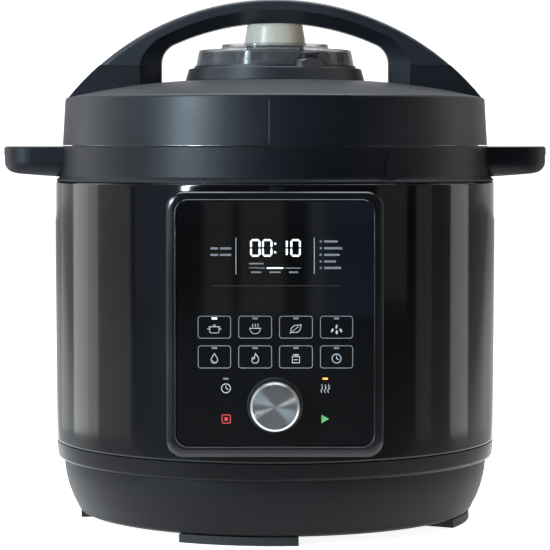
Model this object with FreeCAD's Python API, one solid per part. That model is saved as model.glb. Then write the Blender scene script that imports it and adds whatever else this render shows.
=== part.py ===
import FreeCAD, Part
import math
import os

# Electric pressure cooker, about 5.7 litres, in millimetres.
# +Z is up, -Y is the front with the control panel, +X is the viewer's right.
# The origin is on the floor, under the middle of the object.

V = FreeCAD.Vector
UP = V(0, 0, 1)
O = V(0, 0, 0)

# ---- driving dimensions -------------------------------------------------
SHELL_R = 134.6          # outside of the steel wrapper
SHELL_T = 0.9
FOOT_H = 5.0             # height of the feet
Z_BASE_TOP = 38.0        # top of the bottom bowl
Z_SHELL_0 = 48.7         # lower edge of the wrapper
Z_SHELL_1 = 206.2        # upper edge of the wrapper
Z_COLLAR_0 = 206.4
Z_SEAM = 227.5           # top of the collar, where the lid meets it
HANDLE_TIP_X = 165.4     # half of the width over the carrying handles
LID_R_BOTTOM = 130.1
LID_R_TOP = 128.5
FRONT_Y = -150.0         # face of the dial
REAR_Y = 150.0           # back of the drip cup

POT_R = 111.0            # outside of the cooking pot
POT_T = 0.8
POT_Z0 = 73.0
POT_Z1 = 221.2
LINER_R = 113.6
TEETH = 6                # bayonet teeth on the body and lugs on the lid
TOOTH_DEG = 24.0
LUG_DEG = 20.0
TWIST_DEG = 31.4         # turn from free to fully under the teeth
LID_MARK_AZ = -1.4       # witness line on the lid, degrees from the front
COLLAR_MARK_AZ = 30.0    # raised arrow on the collar
FEET_AZ = (-10.5, 79.5, 169.5, 259.5)
FOOT_DEG = 34.0

PANEL_W, PANEL_H = 121.6, 149.2    # bezel, outside
PANEL_ZC = 127.5
PANEL_R = 9.6
PANEL_Y = -138.5                   # front rim of the bezel
BEVEL_DEEP = 3.5                   # rim in front of the side walls
BEAD = 1.45                        # width of the bead around the glass
GLASS_W, GLASS_H = 109.8, 136.4
GLASS_ZC = 128.2
GLASS_R = 6.4
GLASS_Y = -137.8
KNOB_Z = 82.7
KNOB_R = 13.7
KNOB_PRESS = 0.8

ARCH_R = 162.0           # outer arc of the lid handle
ARCH_ZC = 154.6
ARCH_TOP = 316.6
ARCH_IN_Z = 302.8        # underside of the handle at the middle
ARCH_IN_R = 152.0
LEG_IN_X = 69.6
LEG_SEAM_Z = 276.5
GRIP_HALF = 17.0         # half of the handle's depth, front to back

BTN = (19.2, -39.6)      # quick release button
BTN_PRESS = 3.0
FLOAT = (-26.0, -14.0)
FLOAT_RISE = 5.0

OUT = "parts"
os.makedirs(OUT, exist_ok=True)


# ---- helpers ------------------------------------------------------------
def face(start, segs):
    """Closed face in the XZ plane from lines (r, z) and arcs (rm, zm, r, z)."""
    edges, p = [], start
    for s in segs:
        q = (s[-2], s[-1])
        if len(s) == 2:
            edges.append(Part.LineSegment(V(p[0], 0, p[1]), V(q[0], 0, q[1])).toShape())
        else:
            edges.append(Part.Arc(V(p[0], 0, p[1]), V(s[0], 0, s[1]), V(q[0], 0, q[1])).toShape())
        p = q
    if abs(p[0] - start[0]) + abs(p[1] - start[1]) > 1e-7:
        edges.append(Part.LineSegment(V(p[0], 0, p[1]), V(start[0], 0, start[1])).toShape())
    return Part.Face(Part.Wire(edges))


def rev(start, segs, deg=360.0):
    return face(start, segs).revolve(O, UP, deg)


def az(shape, a):
    """Turns a shape drawn about +X to azimuth a, counted from the front (-Y) towards +X."""
    s = shape.copy()
    s.rotate(O, UP, a - 90.0)
    return s


def sector(r0, r1, z0, z1, centre_az, deg):
    s = rev((r0, z0), [(r1, z0), (r1, z1), (r0, z1)], deg)
    s.rotate(O, UP, -deg / 2.0)
    return az(s, centre_az)


def ring(r0, r1, z0, z1):
    return rev((r0, z0), [(r1, z0), (r1, z1), (r0, z1)])


def cyl(r, x, y, z0, z1):
    return Part.makeCylinder(r, z1 - z0, V(x, y, z0), UP)


def ycyl(r, y0, y1, x, z):
    return Part.makeCylinder(r, y1 - y0, V(x, y0, z), V(0, 1, 0))


def block(x0, x1, y0, y1, z0, z1):
    return Part.makeBox(x1 - x0, y1 - y0, z1 - z0, V(x0, y0, z0))


def rrect_wire(w, h, r, zc, y0, xc=0.0):
    """Rounded rectangle in XZ."""
    a, b = w / 2.0, h / 2.0
    k = r * (1 - math.sqrt(0.5))

    def p(x, z):
        return V(xc + x, y0, zc + z)

    def line(u, v):
        return Part.LineSegment(u, v).toShape()

    def arc(u, m, v):
        return Part.Arc(u, m, v).toShape()

    e = [line(p(-a + r, -b), p(a - r, -b)), arc(p(a - r, -b), p(a - k, -b + k), p(a, -b + r)),
         line(p(a, -b + r), p(a, b - r)), arc(p(a, b - r), p(a - k, b - k), p(a - r, b)),
         line(p(a - r, b), p(-a + r, b)), arc(p(-a + r, b), p(-a + k, b - k), p(-a, b - r)),
         line(p(-a, b - r), p(-a, -b + r)), arc(p(-a, -b + r), p(-a + k, -b + k), p(-a + r, -b))]
    return Part.Wire(e)


def rrect_y(w, h, r, zc, y0, y1, xc=0.0):
    """Rounded rectangle in XZ, extruded along Y."""
    return Part.Face(rrect_wire(w, h, r, zc, y0, xc)).extrude(V(0, y1 - y0, 0))


def rrect_z(x0, x1, y0, y1, r, z0, z1):
    s = block(x0, x1, y0, y1, z0, z1)
    e = [k for k in s.Edges if abs(k.Vertexes[0].Z - k.Vertexes[-1].Z) > 1e-6]
    return s.makeFillet(r, e)


def fuse(first, *rest):
    s = first
    for k in rest:
        s = s.fuse(k)
    return s.removeSplitter()


def cut(s, *tools):
    for k in tools:
        s = s.cut(k)
    return s


def spring(r, wire, z0, z1, turns, x=0.0, y=0.0):
    """Coil drawn as one smooth tube through points on a helix."""
    h = z1 - z0 - 2.4 * wire
    n = int(turns * 12)
    pts = [V(r * math.cos(2 * math.pi * turns * k / n), r * math.sin(2 * math.pi * turns * k / n), h * k / n)
           for k in range(n + 1)]
    c = Part.BSplineCurve()
    c.interpolate(pts)
    d = c.tangent(c.FirstParameter)[0]
    w = Part.Wire(Part.makeCircle(wire, pts[0], d))
    s = Part.Wire(c.toShape()).makePipeShell([w], True, True)
    s.translate(V(x, y, z0 + 1.2 * wire))
    return s


def edges_at(s, test):
    return [e for e in s.Edges if test(e)]


def save(name, shape, group=False):
    if not shape.isValid():
        shape = shape.removeSplitter()
        fixed = shape.copy()
        fixed.fix(0.001, 0.001, 0.001)
        shape = fixed if fixed.isValid() else shape
    solids = shape.Solids
    if not group and len(solids) == 1:
        shape = solids[0]
    else:
        shape = Part.makeCompound(solids)
    print("%-22s solids %d  volume %.0f  valid %s" % (name, len(solids), shape.Volume, shape.isValid()))
    shape.exportStep(os.path.join(OUT, name + ".step"))


# ---- bottom: feet, bowl, trim ring --------------------------------------
save("feet", Part.makeCompound([sector(101.0, 119.4, 0.0, FOOT_H - 0.05, a, FOOT_DEG) for a in FEET_AZ]), True)

BOLT = [(92.0 * math.sin(math.radians(a)), -92.0 * math.cos(math.radians(a))) for a in (35, 125, 215, 305)]
bowl = rev((0, FOOT_H), [(116.2, FOOT_H), (119.7, 6.0, 121.4, 8.6), (126.9, 21.0, 129.6, Z_BASE_TOP),
                         (127.0, Z_BASE_TOP), (127.0, 46.0), (124.4, 46.0), (124.4, Z_BASE_TOP),
                         (122.0, 21.5, 116.6, 9.6), (115.4, 8.0, 113.2, 7.6), (0, 7.6)])
for k in range(16):
    a = math.radians(k * 22.5 + 11.25)
    slot = block(52, 78, -1.6, 1.6, 4, 9)
    slot.rotate(O, UP, math.degrees(a))
    bowl = bowl.cut(slot)
for x, y in BOLT:
    bowl = cut(bowl, cyl(4.2, x, y, 4.0, 6.4), cyl(2.1, x, y, 4.0, 9.0))
PCB_POSTS = [(-50, 0), (50, 0), (-50, 50), (50, 50)]
for x, y in PCB_POSTS:
    bowl = bowl.fuse(cyl(3.0, x, y, 7.0, 20.0))
save("base_bowl", bowl.removeSplitter())
save("base_screws", Part.makeCompound([cyl(3.9, x, y, 5.2, 6.3).fuse(cyl(1.95, x, y, 6.0, 24.0)) for x, y in BOLT]), True)

save("base_ring", rev((127.2, 38.3), [(131.3, 38.3), (132.8, 38.9, 133.5, 40.6), (134.3, Z_SHELL_0 - 0.2),
                                      (127.2, Z_SHELL_0 - 0.2)]))

# ---- steel wrapper with panel and inlet openings ------------------------
ro, ri = SHELL_R, SHELL_R - SHELL_T
shell = rev((ro - 2.2, Z_SHELL_0), [(ro - 1.5, Z_SHELL_0), (ro - 0.44, Z_SHELL_0 + 0.44, ro, Z_SHELL_0 + 1.5),
                                    (ro, Z_SHELL_1 - 1.5), (ro - 0.44, Z_SHELL_1 - 0.44, ro - 1.5, Z_SHELL_1),
                                    (ro - 2.2, Z_SHELL_1), (ro - 2.2, Z_SHELL_1 - SHELL_T),
                                    (ri - 0.18, Z_SHELL_1 - 1.1, ri, Z_SHELL_1 - 1.7),
                                    (ri, Z_SHELL_0 + 1.7), (ri - 0.18, Z_SHELL_0 + 1.1, ro - 2.2, Z_SHELL_0 + SHELL_T)])
shell = cut(shell, rrect_y(PANEL_W + 0.3, PANEL_H + 0.3, PANEL_R + 0.1, PANEL_ZC, -160, -90),
            rrect_y(34.0, 26.0, 4.0, 72.0, 90, 160))
save("outer_shell", shell)

# ---- collar with the two carrying handles -------------------------------
COLLAR_OUT = [(134.0, Z_COLLAR_0), (134.0, 207.1), (132.15, 208.8, 131.4, 211.6), (130.7, Z_SEAM - 0.9),
              (130.45, Z_SEAM - 0.25, 129.8, Z_SEAM)]
collar = rev((113.9, Z_COLLAR_0), COLLAR_OUT + [(127.2, Z_SEAM), (127.2, 208.9), (113.9, 208.9)])
filled = rev((0, Z_COLLAR_0), COLLAR_OUT + [(0, Z_SEAM)])


def side_handle():
    # a flat plate with a lip, and a rounded body under it that thins towards the tip
    z1 = Z_SEAM - 0.3
    zl = 221.9
    plate = rrect_z(96.0, HANDLE_TIP_X, -28.0, 28.0, 18.0, zl, z1)
    top = edges_at(plate, lambda e: abs(e.BoundBox.ZMin - z1) < 1e-6 and e.BoundBox.XMax > 100.0)
    plate = plate.makeFillet(1.6, top)
    body = rrect_z(96.0, HANDLE_TIP_X - 0.3, -27.7, 27.7, 17.7, 208.8, zl + 0.5)
    low = edges_at(body, lambda e: all(abs(v.Z - 208.8) < 1e-6 for v in e.Vertexes)
                   and abs(e.CenterOfMass.z - 208.8) < 1e-6 and e.BoundBox.XMax > 100.0)
    body = body.makeFillet(9.4, low)
    under = face((125.0, 200.0), [(180.0, 200.0), (180.0, 212.6), (125.0, 208.3)]).extrude(V(0, 80.0, 0))
    under.translate(V(0, -40.0, 0))
    w = fuse(plate, body.cut(under))
    tip = HANDLE_TIP_X
    side = face((90.0, 200.0), [(140.0, 200.0), (tip - 8.8, 211.0), (tip - 2.65, 213.4, tip + 0.1, 219.4), (tip + 0.1, 240.0), (90.0, 240.0)])
    side = side.extrude(V(0, 80.0, 0))
    side.translate(V(0, -40.0, 0))
    w = w.common(side)
    # slot where the lid's handle leg can be parked on edge
    slot = rrect_z(142.6, 153.0, -17.0, 17.0, 5.0, 200.0, 240.0)
    w = w.cut(slot)
    edge = edges_at(w, lambda e: abs(e.BoundBox.ZMin - z1) < 1e-6 and e.BoundBox.ZLength < 1e-6
                    and 142.0 < e.BoundBox.XMin and e.BoundBox.XMax < 154.0)
    w = w.makeFillet(1.0, edge)
    return w.cut(filled)


wing = side_handle()
other = wing.copy()
other.rotate(O, UP, 180.0)
mark = Part.Face(Part.Wire([Part.LineSegment(V(128.6, a[0], a[1]), V(128.6, b[0], b[1])).toShape() for a, b in (
    ((-3.1, 207.0), (3.1, 207.0)), ((3.1, 207.0), (3.1, 217.6)), ((3.1, 217.6), (0.0, 223.6)),
    ((0.0, 223.6), (-3.1, 217.6)), ((-3.1, 217.6), (-3.1, 207.0)))])).extrude(V(4.0, 0, 0))
mark = az(mark, COLLAR_MARK_AZ)
collar = fuse(collar, wing, other, mark)
# drain from the moat to the drip cup at the back
spout = fuse(block(-5, 5, 130.0, 142.0, Z_COLLAR_0, 209.6))
collar = fuse(collar, spout)
collar = cut(collar, block(-3.4, 3.4, 120.0, 145.0, 208.0, 211.4))
save("collar", collar)

# ---- liner, bayonet flange, cooking pot ---------------------------------
save("liner", rev((98.0, 62.0), [(109.6, 62.0), (112.4, 63.2, LINER_R, 66.0), (LINER_R, 217.8), (LINER_R - 1, 217.8),
                                 (LINER_R - 1, 66.2), (111.7, 63.9, 109.4, 63.0), (98.0, 63.0)]))
flange = ring(112.7, 118.5, 217.9, 220.0)
for k in range(TEETH):
    flange = flange.fuse(sector(118.0, 122.0, 217.9, 220.0, LID_MARK_AZ + TWIST_DEG + 60.0 * k, TOOTH_DEG))
save("locking_flange", flange.removeSplitter())

save("inner_pot", rev((0, POT_Z0), [(98.0, POT_Z0), (107.2, 76.8, POT_R, 86.0), (POT_R, 220.2), (116.2, 220.2),
                                    (116.7, 220.7, 116.2, POT_Z1), (POT_R - POT_T, POT_Z1), (POT_R - POT_T, 86.0),
                                    (106.6, 77.4, 98.0, POT_Z0 + POT_T), (0, POT_Z0 + POT_T)]))

# ---- heater, sensor, power board ----------------------------------------
save("heating_plate", rev((11.6, 64.5), [(92.0, 64.5), (96.0, 67.5), (96.0, 70.0), (94.0, 72.0), (11.6, 72.6)]))
tube = Part.Face(Part.Wire(Part.makeCircle(3.6, V(72.0, 0, 60.7), V(0, 1, 0)))).revolve(O, UP, 318.0)
tube.rotate(O, UP, 111.0)
for a in (111.0, 111.0 + 318.0):
    x, y = 72.0 * math.cos(math.radians(a)), 72.0 * math.sin(math.radians(a))
    tube = tube.fuse(Part.makeSphere(3.6, V(x, y, 60.7))).fuse(cyl(2.2, x, y, 40.0, 60.0))
save("heater_tube", tube.removeSplitter())
brk = ring(5.0, 104.0, 50.0, 52.0)
for k in range(4):
    hole = sector(22.0, 62.0, 49.0, 53.0, 90.0 * k, 60.0)
    brk = brk.cut(hole)
for a in (111.0, 69.0):
    brk = brk.cut(cyl(4.0, 72.0 * math.cos(math.radians(a)), 72.0 * math.sin(math.radians(a)), 49, 53))
for a in (0, 120, 240):
    c, s = math.cos(math.radians(a + 20)), math.sin(math.radians(a + 20))
    brk = brk.fuse(cyl(4.0, 84.0 * c, 84.0 * s, 51.0, 64.4)).fuse(cyl(3.0, 100.2 * c, 100.2 * s, 51.0, 61.9))
for x, y in BOLT:
    brk = brk.fuse(cyl(5.0, x, y, 7.8, 51.0)).cut(cyl(2.0, x, y, 5.0, 26.0))
save("heater_bracket", brk.removeSplitter())
save("sensor_cap", fuse(rev((0, 58.4), [(10.8, 58.4), (10.8, 71.6), (10.5, 72.4, 9.6, 72.7), (0, 72.7)])
                        .cut(cyl(8.6, 0, 0, 57.0, 69.0)), cyl(3.6, 0, 0, 46.0, 70.0)))
save("sensor_spring", spring(6.2, 0.6, 52.05, 68.9, 5.0))

save("power_board", cut(block(-55, 55, -5, 55, 20.05, 21.65), *[cyl(1.4, x, y, 19, 23) for x, y in PCB_POSTS]))
save("power_components", Part.makeCompound([
    rrect_z(-42, -18, 6, 26, 1.5, 21.7, 38.0), rrect_z(-10, 8, 8, 22, 1.0, 21.7, 36.0),
    cyl(8.0, 24, 14, 21.7, 42.0), cyl(5.0, 40, 14, 21.7, 36.0), rrect_z(-36, 10, 36, 48, 1.0, 21.7, 33.0),
    rrect_z(20, 44, 30, 48, 1.0, 21.7, 30.0)]), True)

# ---- control panel ------------------------------------------------------
y_wall = PANEL_Y + BEVEL_DEEP
frame = rrect_y(PANEL_W, PANEL_H, PANEL_R, PANEL_ZC, y_wall, -117.5)


def bezel_wire(t, h):
    # between the outside (t = 0) and the foot of the bead (t = 1), h in front of the side walls
    k = 1.0 - t
    return rrect_wire(PANEL_W * k + (GLASS_W + 2 * BEAD) * t, PANEL_H * k + (GLASS_H + 2 * BEAD) * t,
                      PANEL_R * k + (GLASS_R + BEAD) * t, PANEL_ZC * k + GLASS_ZC * t, y_wall - h)


def bead_wire(d, h):
    return rrect_wire(GLASS_W + 2 * d, GLASS_H + 2 * d, GLASS_R + d, GLASS_ZC, y_wall - h)


top = BEVEL_DEEP
slope = Part.makeLoft([bezel_wire(0.0, 0.0), bezel_wire(0.06, 0.8), bezel_wire(0.2, 1.5), bezel_wire(0.45, 2.1), bezel_wire(0.75, 2.45),
                       bezel_wire(0.98, 2.55), bead_wire(BEAD - 0.12, top - 0.4), bead_wire(BEAD - 0.4, top - 0.1),
                       bead_wire(BEAD - 0.7, top)], True, True)
frame = fuse(frame, slope)
frame = frame.cut(rrect_y(GLASS_W + 0.3, GLASS_H + 0.3, GLASS_R + 0.15, GLASS_ZC, PANEL_Y - 1, -100))
frame = frame.cut(Part.makeLoft([bead_wire(BEAD - 0.66, top + 0.02), bead_wire(BEAD - 1.0, top - 0.12), bead_wire(0.15, top - 0.6)], True, True))
save("panel_frame", frame)
save("panel_glass", cut(rrect_y(GLASS_W, GLASS_H, GLASS_R, GLASS_ZC, GLASS_Y, GLASS_Y + 2.0), ycyl(6.2, -141, -130, 0, KNOB_Z)))
save("panel_carrier", cut(rrect_y(GLASS_W, GLASS_H, GLASS_R, GLASS_ZC, GLASS_Y + 2.1, GLASS_Y + 4.5),
                          rrect_y(42.0, 20.0, 1.0, 168.0, -141, -130), ycyl(6.2, -141, -130, 0, KNOB_Z)))
save("display_board", cut(rrect_y(100.0, 126.0, 2.0, PANEL_ZC, -127.0, -125.4), ycyl(4.2, -130, -120, 0, KNOB_Z)))
save("led_display", rrect_y(40.0, 18.0, 0.8, 168.0, -135.6, -127.05))
enc = rrect_y(14.0, 14.0, 1.0, KNOB_Z, -125.35, -116.6).fuse(ycyl(3.9, -137.4, -125.0, 0, KNOB_Z))
enc = cut(enc, ycyl(3.05, -140, -121.0, 0, KNOB_Z), ycyl(4.4, -122.4, -118.2, 0, KNOB_Z))
save("encoder_body", enc.removeSplitter())
save("encoder_plunger", fuse(ycyl(3.7, -121.3, -120.3, 0, KNOB_Z), ycyl(1.2, -120.4, -119.4, 0, KNOB_Z)))
save("knob_shaft", ycyl(2.99, -147.0, -121.5, 0, KNOB_Z))
knob = ycyl(KNOB_R, FRONT_Y, -139.4, 0, KNOB_Z)
rim = edges_at(knob, lambda e: abs(e.BoundBox.YMin - FRONT_Y) < 1e-6 and e.BoundBox.YLength < 1e-6)
knob = knob.makeChamfer(1.2, rim)
knob = cut(knob, ycyl(12.2, -146.5, -130, 0, KNOB_Z))
knob = fuse(knob, ycyl(5.2, -147.5, -139.6, 0, KNOB_Z)).cut(ycyl(3.0, -147.2, -130, 0, KNOB_Z))
save("knob", knob)
halo = ycyl(15.6, GLASS_Y - 0.9, GLASS_Y - 0.02, 0, KNOB_Z)
halo = halo.makeChamfer(0.4, edges_at(halo, lambda e: abs(e.BoundBox.YMin - GLASS_Y + 0.9) < 1e-6 and e.BoundBox.YLength < 1e-6))
save("knob_collar", cut(halo, ycyl(14.4, -145, -130, 0, KNOB_Z)))

# ---- mains inlet at the back --------------------------------------------
inlet = rrect_y(33.6, 25.6, 3.8, 72.0, 117.5, 137.6)
lip = rrect_y(42.0, 33.0, 5.0, 72.0, 125.0, 137.6).cut(Part.makeCylinder(SHELL_R + 0.05, 60, V(0, 0, 40), UP))
inlet = fuse(inlet, lip)
inlet = inlet.cut(rrect_y(27.0, 19.0, 4.0, 72.0, 121.0, 140.0))
for x, z in ((-7.0, 70.0), (7.0, 70.0), (0.0, 76.0)):
    inlet = inlet.cut(block(x - 1.05, x + 1.05, 110, 122, z - 2.55, z + 2.55))
save("inlet_socket", inlet)
save("inlet_pins", Part.makeCompound([block(x - 1.0, x + 1.0, 116.0, 131.5, z - 2.5, z + 2.5)
                                      for x, z in ((-7.0, 70.0), (7.0, 70.0), (0.0, 76.0))]), True)

# ---- drip cup on its rail -----------------------------------------------
rail = block(-6, 6, 130.0, 138.4, 172.0, 200.0).cut(Part.makeCylinder(SHELL_R + 0.03, 60, V(0, 0, 160), UP))
rail = fuse(rail, block(-12, 12, 138.2, 140.4, 172.0, 200.0))
save("cup_rail", rail)
cup = rrect_z(-32, 32, 135.9, REAR_Y, 5.0, 165.0, 201.0)
base_e = edges_at(cup, lambda e: abs(e.BoundBox.ZMax - 165.0) < 1e-6)
cup = cup.makeFillet(3.0, base_e)
room = rrect_z(-30.2, 30.2, 137.7, REAR_Y - 1.8, 3.2, 167.0, 205.0)
room = room.cut(block(-14.6, 14.6, 130.0, 143.0, 160, 210))
cup = cut(cup, room, block(-6.5, 6.5, 130.0, 139.0, 160.0, 210.0), block(-12.5, 12.5, 137.9, 140.9, 160.0, 210.0))
cup = fuse(cup, rrect_z(-9, 9, REAR_Y - 2.0, REAR_Y, 0.5, 196.0, 201.0))
save("drip_cup", cup)

# ---- lid: outer cover with the legs of the handle -----------------------
cover = rev((0, Z_SEAM + 0.4), [(LID_R_BOTTOM, Z_SEAM + 0.4), (LID_R_TOP, 254.7), (128.0, 256.2, 126.3, 256.9),
                                (92.0, 263.5, 53.0, 267.2), (0, 267.2)])
cavity = rev((0, 220.0), [(126.9, 220.0), (126.9, Z_SEAM + 0.4), (125.9, 252.0), (125.5, 253.6, 124.4, 254.2),
                          (92.0, 260.7, 53.0, 264.4), (53.0, 300.0), (0, 300.0)])


def arc_x(z, r=ARCH_R):
    return math.sqrt(r * r - (z - ARCH_ZC) ** 2)


CORE = 6.5                # half depth of the handle at its inner edge
CREASE_TOP = 310.2        # where the front face turns under, at the middle
CREASE_X = 82.3           # and at the seam of the legs


def leg_wire(y, x0, x1, top, inset, sign):
    z0 = 248.0
    r = ARCH_R - inset
    zm = (z0 + top) / 2.0
    f = face((sign * x0, z0), [(sign * arc_x(z0, r), z0), (sign * arc_x(zm, r), zm, sign * arc_x(top, r), top),
                               (sign * x1, top)])
    w = f.OuterWire
    w.translate(V(0, y, 0))
    return w


def leg_solid(inset, top, sign):
    h, c = GRIP_HALF - inset, CORE
    core = Part.Face(leg_wire(-c, LEG_IN_X + inset, LEG_IN_X + inset, top, inset, sign)).extrude(V(0, 2 * c, 0))
    for d in (-1, 1):
        core = core.fuse(Part.makeLoft([leg_wire(d * h, CREASE_X - 1.0 + inset, CREASE_X + inset, top, inset, sign),
                                        leg_wire(d * c, LEG_IN_X + inset, LEG_IN_X + inset, top, inset, sign)], True, True))
    return core.removeSplitter()


for sign in (-1, 1):
    cover = cover.fuse(leg_solid(0.0, LEG_SEAM_Z, sign).common(Part.makeCylinder(LID_R_TOP - 0.5, 80, V(0, 0, 250), UP)))
cover = cover.removeSplitter().cut(cavity)
for sign in (-1, 1):
    cover = cover.cut(leg_solid(3.0, LEG_SEAM_Z - 3.0, sign)
                      .common(rev((0, 248.0), [(123.4, 248.0), (123.4, 300.0), (0, 300.0)])))
    for y in (-8.0, 8.0):
        cover = cover.cut(cyl(2.1, sign * 88.0, y, 262.0, 290.0))
line = rev((128.0, 229.0), [(LID_R_BOTTOM + 0.28, 229.0), (LID_R_TOP + 0.42, 254.3), (127.0, 254.3)], 0.32)
cover = fuse(cover, az(line, LID_MARK_AZ - 0.16))
BOSS = [(70.0 * math.cos(math.radians(a)), 70.0 * math.sin(math.radians(a))) for a in (90, 210, 330)]
for x, y in BOSS:
    boss = cyl(5.0, x, y, 240.15, 264.8)
    cover = cover.fuse(boss).cut(cyl(1.95, x, y, 239.0, 256.0))
save("lid_cover", cover.removeSplitter())
save("lid_screws", Part.makeCompound([cyl(1.9, x, y, 237.0, 254.0).fuse(cyl(3.6, x, y, 236.6, 238.7)) for x, y in BOSS]), True)

# ---- lid handle: one arched grip on the two legs ------------------------
zs = LEG_SEAM_Z + 0.08
xo = arc_x(zs)
ic = ARCH_IN_Z - ARCH_IN_R
fr = 13.0                       # inside corner radius of the arch
# corner circle: tangent to the inner vertical and inside the inner arc
cx = LEG_IN_X - fr
cz = ic + math.sqrt((ARCH_IN_R - fr) ** 2 - cx * cx)
ang = math.atan2(cz - ic, cx)
tx, tz = cx + fr * math.cos(ang), cz + fr * math.sin(ang)
mid = ang / 2.0
mx, mz = cx + fr * math.cos(mid), cz + fr * math.sin(mid)


def arch_wire(y, xl, z1, m, t, top):
    """Outline of the handle: legs at +-xl, straight to z1, corner through m to t, arc through the top."""
    f = face((-xl[0], zs), [(-xo, zs), (0.0, ARCH_TOP, xo, zs), (xl[0], zs), (xl[1], z1), (m[0], m[1], t[0], t[1]),
                            (0.0, top, -t[0], t[1]), (-m[0], m[1], -xl[1], z1)])
    w = f.OuterWire
    w.translate(V(0, y, 0))
    return w


def inner_wire(y):
    return arch_wire(y, (LEG_IN_X, LEG_IN_X), cz, (mx, mz), (tx, tz), ARCH_IN_Z)


def crease_wire(y):
    return arch_wire(y, (CREASE_X, CREASE_X - 1.2), 281.0, (74.4, 289.7), (64.2, 295.9), CREASE_TOP)


grip = Part.Face(inner_wire(-CORE)).extrude(V(0, 2 * CORE, 0))
for d in (-1, 1):
    grip = grip.fuse(Part.makeLoft([crease_wire(d * GRIP_HALF), inner_wire(d * CORE)], True, True))
grip = grip.removeSplitter()
outer = edges_at(grip, lambda e: abs(abs(e.CenterOfMass.y) - GRIP_HALF) < 1e-3 and e.BoundBox.YLength < 1e-6
                 and e.BoundBox.XLength > 150.0 and e.BoundBox.ZMax > ARCH_TOP - 0.5)
print("outer grip edges", len(outer))
grip = grip.makeFillet(3.0, outer)
for sign in (-1, 1):
    for y in (-8.0, 8.0):
        grip = grip.cut(cyl(2.05, sign * 88.0, y, 270.0, 286.0))
save("lid_handle", grip)
save("lid_handle_screws", Part.makeCompound([
    cyl(2.0, s * 88.0, y, 271.0, 285.5).fuse(cyl(3.4, s * 88.0, y, 270.9, 273.4)) for s in (-1, 1) for y in (-8.0, 8.0)]), True)

# ---- lid inner plate with bayonet lugs, seal, wire rack -----------------
plate = rev((6.2, 238.8), [(95.0, 238.8), (103.0, 236.0), (123.3, 236.0), (123.3, 214.4), (124.5, 214.4), (124.5, 236.6),
                           (123.9, 237.2), (102.6, 237.2), (94.6, 240.0), (6.2, 240.0)])
for k in range(TEETH):
    plate = plate.fuse(sector(119.2, 123.6, 214.4, 217.0, LID_MARK_AZ + 60.0 * k, LUG_DEG))
plate = plate.cut(cyl(3.7, FLOAT[0], FLOAT[1], 230, 245))
for x, y in BOSS:
    plate = plate.cut(cyl(2.0, x, y, 230, 245))
save("lid_plate", plate.removeSplitter())
save("sealing_ring", rev((105.0, 235.6), [(116.6, 235.6), (117.5, 234.6), (117.6, 224.6), (117.3, 222.4, 115.6, 221.5),
                                          (109.4, 221.5), (107.8, 222.4, 107.6, 224.2), (112.4, 225.8), (112.4, 231.6),
                                          (105.6, 232.4), (105.0, 233.0)]))
rack = Part.makeTorus(102.4, 1.3, V(0, 0, 230.0), UP)
for a in (0, 120, 240):
    rack = rack.fuse(cyl(1.2, 102.4 * math.cos(math.radians(a)), 102.4 * math.sin(math.radians(a)), 230.0, 235.7))
save("seal_rack", rack.removeSplitter())

# ---- steam path ---------------------------------------------------------
save("exhaust_pipe", rev((2.0, 231.0), [(5.0, 231.0), (5.0, 234.0), (9.0, 234.0), (9.0, 238.7), (6.1, 238.7), (6.1, 240.1), (8.6, 240.1),
                                        (8.6, 245.0), (5.0, 245.0), (5.0, 277.6), (4.0, 279.2), (2.0, 279.2)]))
shield = rev((0, 224.0), [(9.0, 224.0), (15.2, 225.4, 17.0, 230.0), (17.0, 238.6), (16.2, 238.6), (16.2, 230.2),
                          (14.6, 226.1, 9.0, 224.8), (0, 224.8)])
for k in range(12):
    s = block(14.0, 20.0, -1.3, 1.3, 230.5, 236.6)
    s.rotate(O, UP, 30.0 * k)
    shield = shield.cut(s)
for k in range(6):
    shield = shield.cut(cyl(1.6, 5.5 * math.cos(k * math.pi / 3), 5.5 * math.sin(k * math.pi / 3), 220, 230))
save("anti_block_shield", shield)

fx, fy = FLOAT
save("float_valve", fuse(cyl(2.8, fx, fy, 228.0, 271.2), cyl(4.8, fx, fy, 232.0, 233.5)))
save("float_cap", cyl(5.6, fx, fy, 228.6, 231.9).cut(cyl(2.82, fx, fy, 220, 240)))

save("valve_weight", rev((0, 276.4), [(1.5, 276.4), (1.7, 279.4), (6.1, 279.4), (6.1, 263.3), (8.0, 263.3), (8.0, 279.4),
                                      (12.0, 279.4), (12.0, 284.6), (11.0, 285.6), (0, 285.6)]))

# ---- hub on the lid, button, lever --------------------------------------
bx, by = BTN
bl = math.hypot(bx, by)
turn = math.degrees(math.atan2(by, bx))
PIVOT_T, PIVOT_Z = 24.0, 262.0


def local(s):
    k = s.copy()
    k.rotate(O, UP, turn)
    return k


hub = rev((52.6, 267.35), [(55.0, 267.35), (53.2, 273.4), (52.9, 274.3, 52.1, 274.6), (49.8, 274.6), (49.5, 276.2),
                           (44.0, 276.2), (44.0, 273.3), (9.0, 273.3), (9.0, 271.1), (50.6, 271.1)])
bump = rev((0, 267.6), [(10.7, 267.6), (10.7, 275.4), (9.7, 278.3, 7.2, 279.4), (0, 279.4)])
bump.translate(V(bx, by, 0))
bump = bump.common(rev((0, 267.5), [(54.8, 267.5), (53.1, 273.4), (51.7, 281.0), (0, 281.0)]))
bump = bump.cut(rev((53.0, 255.0), [(140.0, 255.0), (140.0, 256.9), (126.3, 256.9), (92.0, 263.7, 53.0, 267.4)]))
seat = rev((3.0, 264.8), [(8.4, 264.8), (8.4, 268.4), (6.5, 268.4), (6.5, 266.0), (3.0, 266.0)])
seat.translate(V(bx, by, 0))
hub = fuse(hub, bump)
hub = fuse(cut(hub, cyl(6.5, bx, by, 260, 290), cyl(3.5, fx, fy, 260, 290)), seat)
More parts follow.
